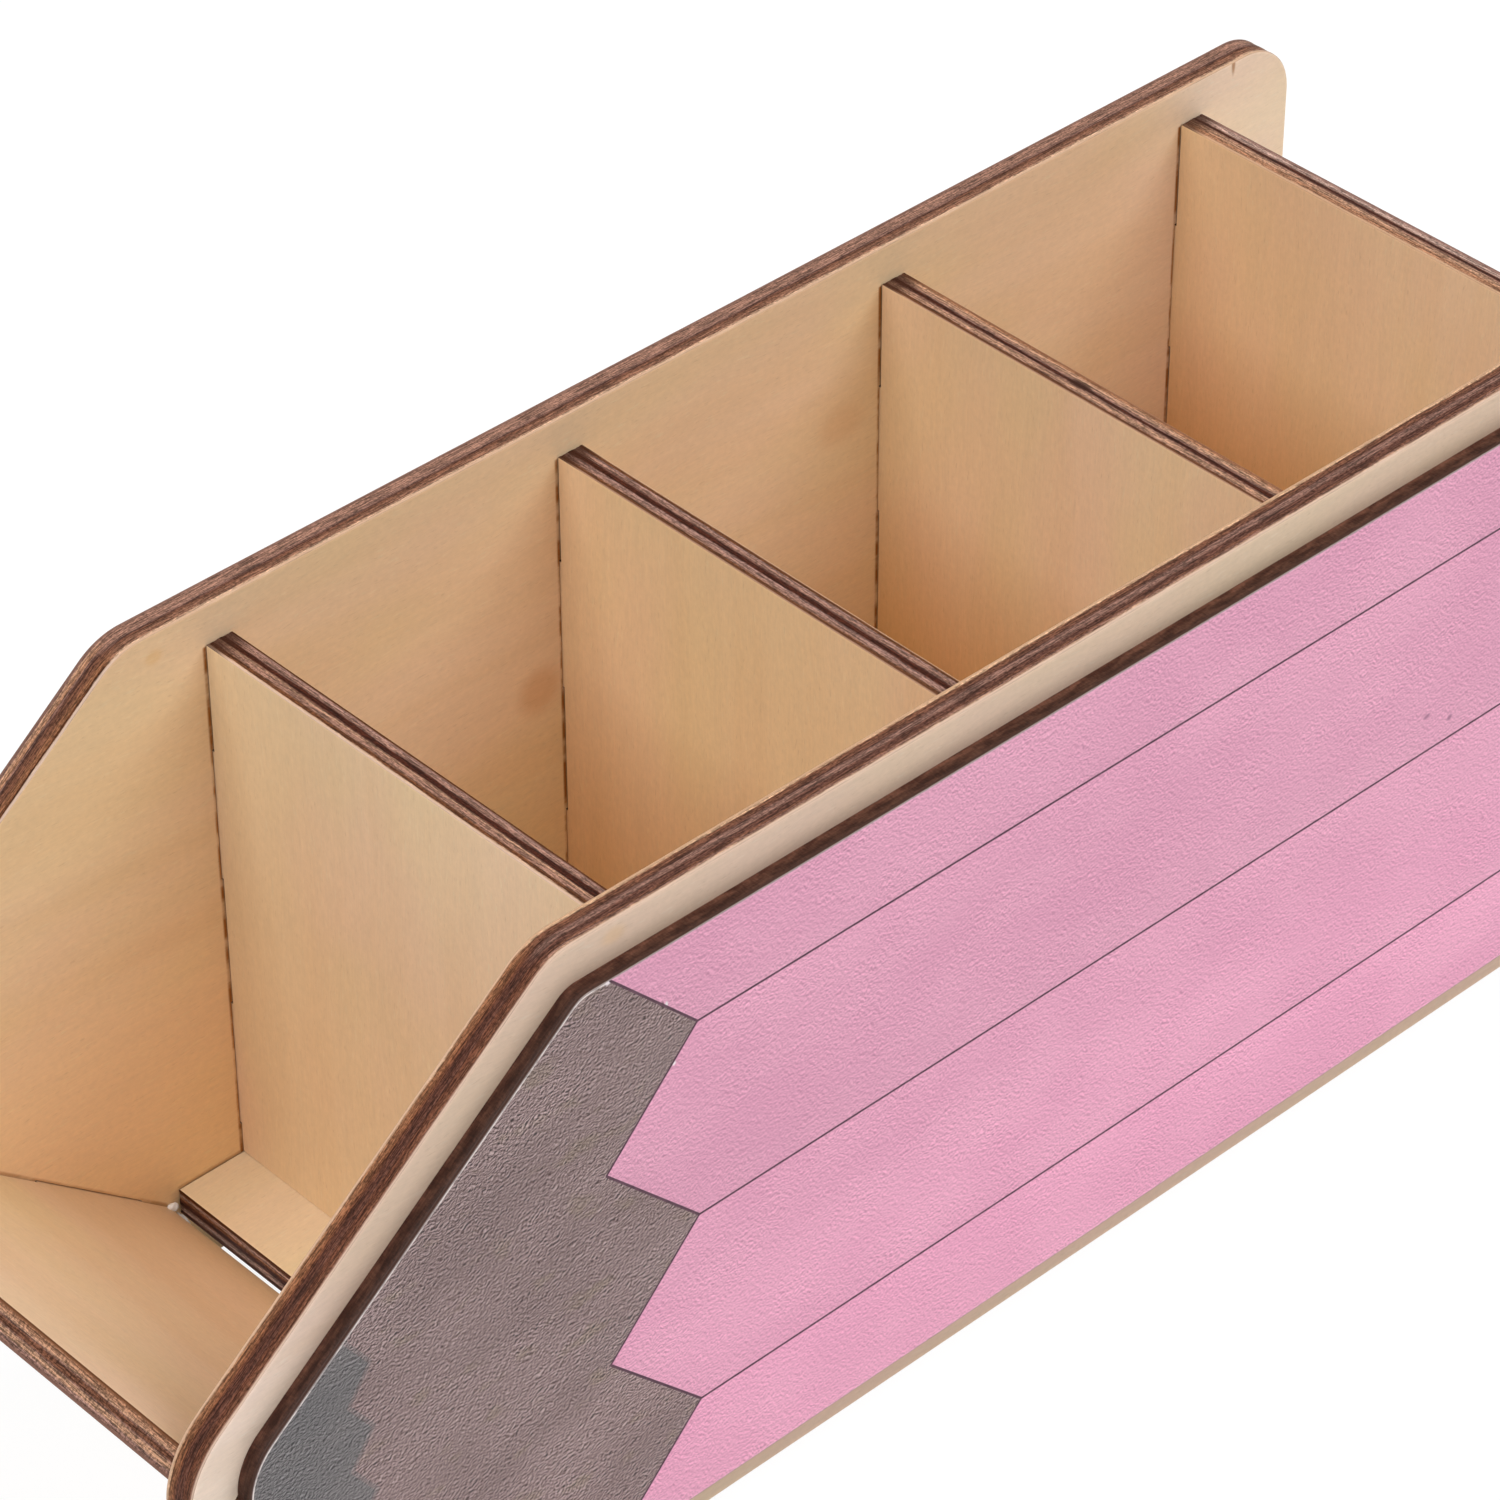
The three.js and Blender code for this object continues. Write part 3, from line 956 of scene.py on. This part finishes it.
# Chips and scuffs of the printed sheet: colour, place, half sizes in millimetres and share
CHIP = linear(244, 232, 234)
SCUFF = linear(146, 92, 122)
PRINT_MARKS = [
    (CHIP, (-5.8, face_y, 84.35), (0.5, 9.0, 0.4), 1.0),
    (CHIP, (2.85, face_y, 68.6), (0.4, 9.0, 0.4), 1.0),
    (CHIP, (1.95, face_y, 77.0), (0.3, 9.0, 0.55), 1.0),
    (CHAR, (1.4, face_y, 77.2), (0.3, 9.0, 0.6), 1.0),
    (SCUFF, (119.1, face_y, 51.0), (0.8, 9.0, 0.45), 0.7),
    (SCUFF, (123.2, face_y, 48.7), (0.6, 9.0, 0.6), 0.7),
]
# Creases of the sheet: their number per millimetre along x and z, and the way to their painted lit sides
COARSE_CREASES = (2.5, 1.0, 3.1), (-0.05, 0.0, 0.12)
FINE_CREASES = (2.5, 1.0, 2.6), (0.03, 0.0, 0.12)
# Pale colour painted as a highlight along the sheet's cut, and the cut's own singed brown
SKIN_RIM_HIGHLIGHT = linear(232, 220, 215)
SKIN_CUT = linear(80, 57, 52)


def print_material(name, tone, light, depth, pale, creases=COARSE_CREASES, blotch=None):
    """Embossed sheet in one printed colour. `depth` is how strongly the painted light and shade of
    its creases show, and `pale` how much of the pale painted highlight shows along its cut."""
    g = Graph(name)
    at = g.design()
    swirl = g.swirl(at, (0.5, 0.5, 0.5), 1.1)
    scale, way = creases
    height = g.noise(g.vmath("ADD", at, swirl), scale, 1.0)
    lit = g.noise(g.vmath("ADD", g.vmath("ADD", at, way), swirl), scale, 1.0)
    strong = g.noise(at, (0.11, 0.11, 0.16), 2.0)
    grit = g.noise(at, (5.5, 5.5, 5.5), 1.0, 0.6)
    broad = g.noise(at, (0.05, 0.05, 0.08), 3.0, 0.55)
    colour = g.mix(g.between(broad, 0.32, 0.68), tone, light)
    if blotch:
        spots = g.noise(at, (0.16, 0.16, 0.3), 2.0)
        colour = g.mix(g.between(spots, 0.56, 0.72, 0.0, 0.55), colour, blotch)
    # Painted light and shade of the creases: the crease noise minus the same noise shifted towards the
    # lit side.
    relief = g.times(g.math("SUBTRACT", height, lit), g.math("MULTIPLY_ADD", strong, 1.2, 0.4))
    factor = g.math("MULTIPLY_ADD", relief, 1.9 * depth, 1.0)
    # Painted light: the sheet up to 12% lighter towards the bottom.
    lower_painted_light = g.between(g.parts(at)[2], 52.0, 18.0, 1.0, 1.12)
    factor = g.times(factor, g.swing(grit, 0.3 * depth), lower_painted_light)
    colour = g.gain(colour, g.math("MAXIMUM", g.math("MINIMUM", factor, 1.75), 0.45))
    # Painted sheen: the crease light and shade added again as grey, equal in every channel.
    painted_crease_sheen = g.times(relief, 1.7 * depth * tone[1])
    colour = g.vmath("ADD", colour, g.vector(painted_crease_sheen, painted_crease_sheen, painted_crease_sheen))
    colour = g.vmath("MAXIMUM", colour, (0.01, 0.01, 0.01))
    distance, _ = g.rim()
    # Painted highlight: a pale band up to 0.3 mm inside the cut, broken by a noise.
    highlight_breaks = g.noise(at, (0.7, 0.7, 0.7), 3.0, 0.6)
    edge = g.times(g.between(distance, 0.34, 0.26), g.between(highlight_breaks, 0.35, 0.55, 0.4, 1.0), pale)
    colour = g.mix(edge, colour, SKIN_RIM_HIGHLIGHT)
    colour = g.mix(g.between(distance, 0.14, 0.08, 0.0, 0.85), colour, SKIN_CUT)
    colour = g.marked(colour, at, PRINT_MARKS)
    rough = g.math("MULTIPLY_ADD", grit, 0.2, 0.4)
    return g.surface(colour, rough, g.bump(height, 0.25 * depth, 0.0002), 0.4)


def stroke_material(name):
    g = Graph(name)
    at = g.design()
    patch = g.noise(at, (0.9, 0.9, 0.9), 3.0, 0.6)
    grit = g.noise(at, (4.0, 4.0, 4.0), 1.0)
    colour = g.mix(g.between(patch, 0.3, 0.7), linear(80, 50, 64), linear(104, 72, 86))
    colour = g.gain(colour, g.swing(grit, 0.5))
    return g.surface(colour, g.math("MULTIPLY_ADD", patch, 0.2, 0.5), None, 0.3)


def skin_edge(name):
    """The sheet's cut: singed brown, with a pale painted highlight along the print."""
    g = Graph(name)
    run, depth = g.rim()
    patch = g.rim_noise(run, depth, 0.8, 2.0, 1.0)
    nicks = g.rim_noise(run, depth, 3.5, 5.0, 4.0, 2.0)
    cut = g.ramp(g.math("DIVIDE", depth, SKIN), [(0.0, CHAR), (0.5, CHAR), (1.0, SKIN_CUT)])
    colour = g.gain(cut, g.swing(nicks, 1.2))
    # Painted highlight along the print, at most a third strong on the straight stretches and none where
    # the cut looks along the pencil.
    core = g.between(g.math("MULTIPLY_ADD", patch, 0.06, depth), SKIN - 0.1, SKIN - 0.02)
    core = g.times(core, g.between(g.facing(0), 0.25, 0.55, 0.35, 0.0))
    colour = g.mix(core, colour, SKIN_RIM_HIGHLIGHT)
    return g.surface(colour, g.math("MULTIPLY_ADD", patch, 0.2, 0.45), None, 0.35)


# Pieces

ALONG_X = (0.0, 0.0, 0.0)
ALONG_Z = (0.0, math.radians(90), 0.0)
ALONG_Y = (0.0, 0.0, math.radians(90))


def upright(face):
    """Place of a sheet in the silhouette's plane, whose first face lies at y = `face`."""
    return lambda x, z, depth, drop: (x, face - depth + drop, z)


def cross_wall(start):
    return lambda z, y, depth, drop: (start + depth, y, z)


def floor_place(x, y, depth, drop):
    return (x, y, floor_top - depth)


def slope_place(s, y, depth, drop):
    x = slope_start[0] + slope_up[0] * s + slope_under[0] * depth
    z = slope_start[1] + slope_up[1] * s + slope_under[1] * depth
    return (x, y, z)


# Resin spots and stains: colour, place, half sizes in millimetres and share
STAIN = linear(205, 140, 74)
RESIN = linear(226, 178, 104)
TICK = linear(184, 138, 102)
BACK_MARKS = [
    (STAIN, (46.5, INNER_DEPTH, 54.0), (4.5, 2.0, 4.5), 0.4),
    (STAIN, (94.0, INNER_DEPTH, 68.0), (5.0, 2.0, 4.0), 0.2),
    (RESIN, (-6.9, INNER_DEPTH, 86.6), (1.6, 2.0, 1.3), 0.35),
    (TICK, (159.3, INNER_DEPTH, 89.4), (0.45, 2.0, 2.2), 0.95),
]
FRONT_MARKS = [(RESIN, (-3.0, -PLY, 87.6), (2.2, 2.0, 1.4), 0.25)]
WALL_MARKS = [(CHAR, (wall_starts[2] + 1.9, 34.0, wall_top), (0.9, 2.4, 3.0), 0.9)]


# Tones of the single boards, as shares of the wood's colour; a board's second tone and its tint towards
# the floor are painted light and shade
DIVIDER_TONES = [
    (0.89, 0.93, 0.95, 1),
    (0.96, 0.99, 0.93, 1),
    (0.91, 0.93, 0.91, 1),
    (0.93, 0.92, 0.87, 1),
]
# Painted light: each cross wall lighter and paler towards the front panel.
DIVIDER_PAINTED_FRONT_LIGHT = [
    (0.98, 1.07, 1.1, 1),
    (1.07, 1.06, 1.02, 1),
    (1.04, 1.09, 1.12, 1),
    (1.07, 1.12, 1.12, 1),
]
# Painted shade: each cross wall warmer and mostly darker towards the floor.
DIVIDER_PAINTED_LOW_SHADE = [None, (1.04, 0.97, 0.88, 1), (1.0, 0.83, 0.6, 1), (0.93, 0.76, 0.48, 1)]
FLOOR_TONE = (0.95, 1.06, 1.1, 1)
# Painted light: the sloping board lighter and paler towards the front panel.
SLOPE_TONE, SLOPE_PAINTED_FRONT_LIGHT = (0.81, 0.84, 0.82, 1), (0.91, 0.94, 1.0, 1)
# Painted light: the front panel's face paler and whiter towards the nose, where the floor's light falls
# on it.
FRONT_TONE, FRONT_PAINTED_NOSE_LIGHT = (0.81, 0.86, 1.0, 1), (0.97, 1.12, 1.4, 1)
FRONT_PAINTED_LIGHT_SPAN = (0, -36.0, -56.0)
# Painted light: the back panel's face paler and whiter towards its end, past the last compartment.
BACK_TONE, BACK_PAINTED_END_LIGHT = (0.935, 0.965, 0.95, 1), (0.99, 1.09, 1.28, 1)
# Painted light: the back panel lighter towards the floor, short of the end wall's outer face.
BACK_PAINTED_LOW_LIGHT = (1.12, 1.1, 1.02, 1)
BACK_PAINTED_LIGHT_SPAN = (0, 135.0, 162.0)
WALL_PAINTED_LIGHT_SPAN = (1, 50.0, 12.0)
SLOPE_PAINTED_LIGHT_SPAN = (1, 58.0, 30.0)
WALL_SEED = 10


def make_panels():
    loops = [pencil_outline()] + panel_slots()
    rims = cut_plies("front_panel_cut", 1, PLY, FRONT_PLIES, FRONT_SLANT_PLIES)
    tones = FRONT_TONE, FRONT_PAINTED_NOSE_LIGHT, FRONT_PAINTED_LIGHT_SPAN, FRONT_MARKS
    veneer = wood_face("front_panel_veneer", ALONG_X, 1, *tones, painted_strip_shade)
    board("front_panel_boards", "front_panel", loops, PLYWOOD_ROWS, upright(0), [rims, veneer])
    rims = cut_plies("back_panel_cut", 2, PLY, BACK_PLIES, BACK_SLANT_PLIES, flip=True)
    tones = BACK_TONE, BACK_PAINTED_END_LIGHT, BACK_PAINTED_LIGHT_SPAN, BACK_MARKS
    veneer = wood_face("back_panel_veneer", ALONG_X, 2, *tones, seam_shade, BACK_PAINTED_LOW_LIGHT)
    board("back_panel_boards", "back_panel", loops, PLYWOOD_ROWS, upright(back_y), [rims, veneer])


def make_walls():
    loop = tabbed_outline(floor_top, wall_top, wall_tabs, WALL_CORNER)
    for i, start in enumerate(wall_starts):
        name = f"divider_{i + 1}" if i < BAY_COUNT else "end_wall"
        seed = WALL_SEED + i
        rims = cut_plies(name + "_cut", seed, BOARD, WALL_PLIES[i], tip=INNER_DEPTH, marks=WALL_MARKS)
        tones = DIVIDER_TONES[i], DIVIDER_PAINTED_FRONT_LIGHT[i], WALL_PAINTED_LIGHT_SPAN
        veneer = wood_face(name + "_veneer", ALONG_Z, seed, *tones, low_painted_tint=DIVIDER_PAINTED_LOW_SHADE[i])
        board(name + "_boards", name, [loop], BOARD_ROWS, cross_wall(start), [rims, veneer])


def make_floors():
    rims = cut_plies("floor_cut", 20, BOARD, FLOOR_PLIES)
    veneer = wood_face("floor_veneer", ALONG_X, 20, FLOOR_TONE)
    loop = tabbed_outline(-FLOOR_LIP, end_wall_far + FLOOR_LIP, floor_tabs)
    board("floor_boards", "floor_panel", [loop], BOARD_ROWS, floor_place, [rims, veneer])
    rims = cut_plies("slope_cut", 21, BOARD, SLOPE_PLIES, dashes=1.4)
    veneer = wood_face("slope_veneer", ALONG_Y, 21, SLOPE_TONE, SLOPE_PAINTED_FRONT_LIGHT, SLOPE_PAINTED_LIGHT_SPAN)
    loop = tabbed_outline(0.0, slope_length, slope_tabs)
    board("slope_boards", "slope_board", [loop], BOARD_ROWS, slope_place, [rims, veneer])


# Beads of glue in the corner of slope, floor and back panel: centre and half sizes
GLUE_BEADS = [((-10.15, 62.6, 9.35), (0.35, 1.2, 0.4)), ((-10.8, 63.5, 10.9), (0.8, 0.45, 0.55))]
BEAD_ROUND = 20


def glue_material():
    g = Graph("glue")
    at = g.design()
    cloud = g.noise(at, (0.8, 0.8, 0.8))
    colour = g.mix(g.between(cloud, 0.35, 0.65), linear(240, 232, 224), linear(253, 250, 247))
    return g.surface(colour, g.math("MULTIPLY_ADD", cloud, 0.2, 0.3), g.bump(cloud, 0.4, 0.0002), 0.4)


def bead(centre, radii, seed):
    """Points and faces of a lumpy drop."""
    points, faces = [], []
    for i in range(1, BEAD_ROUND):
        polar = math.pi * i / BEAD_ROUND
        for k in range(BEAD_ROUND):
            turn = math.tau * k / BEAD_ROUND
            x, z = math.sin(polar) * math.cos(turn), math.sin(polar) * math.sin(turn)
            way = Vector((x, math.cos(polar), z))
            lump = 1 + 0.25 * noise.noise(Vector(way * 1.7) + Vector((seed, 0, 0)))
            points.append([c + r * w * lump for c, r, w in zip(centre, radii, way)])
    for i in range(BEAD_ROUND - 2):
        for k in range(BEAD_ROUND):
            a, b = i * BEAD_ROUND + k, i * BEAD_ROUND + (k + 1) % BEAD_ROUND
            faces.append((a, b, b + BEAD_ROUND, a + BEAD_ROUND))
    for first, side in ((0, 1), ((BEAD_ROUND - 2) * BEAD_ROUND, -1)):
        points.append([c + r * side * w for c, r, w in zip(centre, radii, (0, 1, 0))])
        for k in range(BEAD_ROUND):
            faces.append((first + k, first + (k + 1) % BEAD_ROUND, len(points) - 1))
    return points, faces


def make_glue():
    for i, (centre, radii) in enumerate(GLUE_BEADS):
        build = Build()
        build.points, faces = bead(centre, radii, i * 5.0)
        for face in faces:
            build.add(face, 0, [(0.0, 0.0)] * len(face))
        piece = build.mesh(f"glue_bead_{i + 1}", [glue_material()])
        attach(piece, "root")


def make_printed_face():
    veneer = wood_face("facing_veneer", ALONG_X, 30, FRONT_TONE)
    loops = [pencil_outline(FACING_INSET)]
    materials = [facing_edge("facing_cut"), veneer]
    board("facing_sheet", "facing_board", loops, FACING_ROWS, upright(-PLY), materials, slot="thin_board")
    pink, pink_light = linear(223, 156, 184), linear(229, 164, 190)
    taupe, taupe_light, olive = linear(128, 107, 105), linear(142, 120, 118), linear(132, 115, 98)
    prints = [
        skin_edge("skin_cut"),
        skin_edge("skin_back"),
        print_material("print_pink", pink, pink_light, 0.45, 0.15, FINE_CREASES),
        print_material("print_taupe", taupe, taupe_light, 1.7, 1.0, blotch=olive),
        print_material("print_lead", linear(102, 99, 100), linear(112, 107, 107), 1.3, 1.0),
        stroke_material("print_stroke"),
        print_material("print_blend", linear(115, 103, 102), linear(126, 112, 111), 1.5, 1.0),
    ]
    place = upright(-PLY - FACING_PLY)
    details = 0.0, print_kind, groove, print_borders()
    board("skin_sheet", "facing_skin", loops, SKIN_ROWS, place, prints, *details, slot="printed_skin")


def make_pieces():
    make_panels()
    make_walls()
    make_floors()
    make_glue()
    make_printed_face()


# Stage

FOCAL_PIXELS = 5880.059
FRAME_PIXELS = 1500
SENSOR = 36.0
CAMERA_AZIMUTH = -0.7530310
CAMERA_ELEVATION = 0.6661961
CAMERA_ROLL = -0.0029787
CAMERA_TARGET = (19.2515, 0.0, 96.6248)
CAMERA_DISTANCE = 590.7051
CLIP_START, CLIP_END = 0.05, 20


def make_camera():
    a, e, r = CAMERA_AZIMUTH, CAMERA_ELEVATION, CAMERA_ROLL
    back = Vector((math.sin(a) * math.cos(e), -math.cos(a) * math.cos(e), math.sin(e)))
    right = (-back).cross(Vector((0, 0, 1))).normalized()
    up = right.cross(-back)
    camera_x = right * math.cos(r) + up * math.sin(r)
    camera_y = -right * math.sin(r) + up * math.cos(r)
    data = bpy.data.cameras.new("camera")
    data.sensor_width = SENSOR
    data.lens = FOCAL_PIXELS * SENSOR / FRAME_PIXELS
    data.clip_start, data.clip_end = CLIP_START, CLIP_END
    camera = bpy.data.objects.new("camera", data)
    matrix = Matrix((camera_x, camera_y, back)).transposed().to_4x4()
    matrix.translation = metres(*(Vector(CAMERA_TARGET) + back * CAMERA_DISTANCE))
    camera.matrix_world = matrix
    bpy.context.scene.collection.objects.link(camera)
    bpy.context.scene.camera = camera


WORLD_LIGHT = 0.3
FLOOR_GLOW = 0.92
FLOOR_WHITE = 0.8
FLOOR_HALF = 4.0
FLOOR_SEEN = 0.12  # share of the lamps' light on the floor that the camera sees


def seen_rays(g):
    """1 for rays from the camera, off gloss or through glass, and 0 for those that light."""
    path = g.node("ShaderNodeLightPath").outputs
    seen = g.math("MAXIMUM", path["Is Camera Ray"], path["Is Glossy Ray"])
    return g.math("MAXIMUM", seen, path["Is Transmission Ray"])


def make_world():
    g = Graph("studio", bpy.data.worlds)
    bpy.context.scene.world = g.owner
    strength = g.fed("ShaderNodeMapRange", seen_rays(g), 0.0, 1.0, WORLD_LIGHT, 1.0)
    back = g.fed("ShaderNodeBackground", None, strength)
    g.put(g.node("ShaderNodeOutputWorld").inputs[0], back)


def floor_material():
    g = Graph("studio_floor")
    lighting = g.fed("ShaderNodeBsdfDiffuse", (FLOOR_WHITE,) * 3 + (1,))
    shown = g.fed("ShaderNodeBsdfDiffuse", (FLOOR_SEEN,) * 3 + (1,))
    glow = g.fed("ShaderNodeEmission", None, FLOOR_GLOW)
    both = g.fed("ShaderNodeAddShader", shown, glow)
    pick = g.fed("ShaderNodeMixShader", seen_rays(g), lighting, both)
    g.put(g.node("ShaderNodeOutputMaterial").inputs[0], pick)
    return g.owner


def make_floor():
    mesh = bpy.data.meshes.new("studio_floor")
    corners = [(-1, -1), (1, -1), (1, 1), (-1, 1)]
    points = [(x * FLOOR_HALF, y * FLOOR_HALF, 0) for x, y in corners]
    mesh.from_pydata(points, [], [(0, 1, 2, 3)])
    mesh.materials.append(floor_material())
    floor = bpy.data.objects.new("studio_floor", mesh)
    bpy.context.scene.collection.objects.link(floor)


LAMPS = {
    "left_box": (-90, 45, 9.9),
    "right_box": (45, 45, 7.7),
    "front_box": (0, 45, 5.4),
    "top_box": (0, 90, 4.4),
}
LAMP_SIZE = 0.8
LAMP_DISTANCE = 1.5
LAMP_AIM = 0.04  # height that the lamps look at


def make_lamp(name, azimuth, elevation, power):
    a, e = math.radians(azimuth), math.radians(elevation)
    back = Vector((math.sin(a) * math.cos(e), -math.cos(a) * math.cos(e), math.sin(e)))
    data = bpy.data.lights.new(name, "AREA")
    data.shape = "SQUARE"
    data.size = LAMP_SIZE
    data.energy = power
    lamp = bpy.data.objects.new(name, data)
    lamp.location = back * LAMP_DISTANCE + Vector((0, 0, LAMP_AIM))
    lamp.rotation_mode = "QUATERNION"
    lamp.rotation_quaternion = back.to_track_quat("Z", "Y")
    bpy.context.scene.collection.objects.link(lamp)


make_camera()
make_world()
make_floor()
for lamp_name, (azimuth, elevation, power) in LAMPS.items():
    make_lamp(lamp_name, azimuth, elevation, power)
make_pieces()
bpy.context.scene.view_settings.view_transform = "Standard"
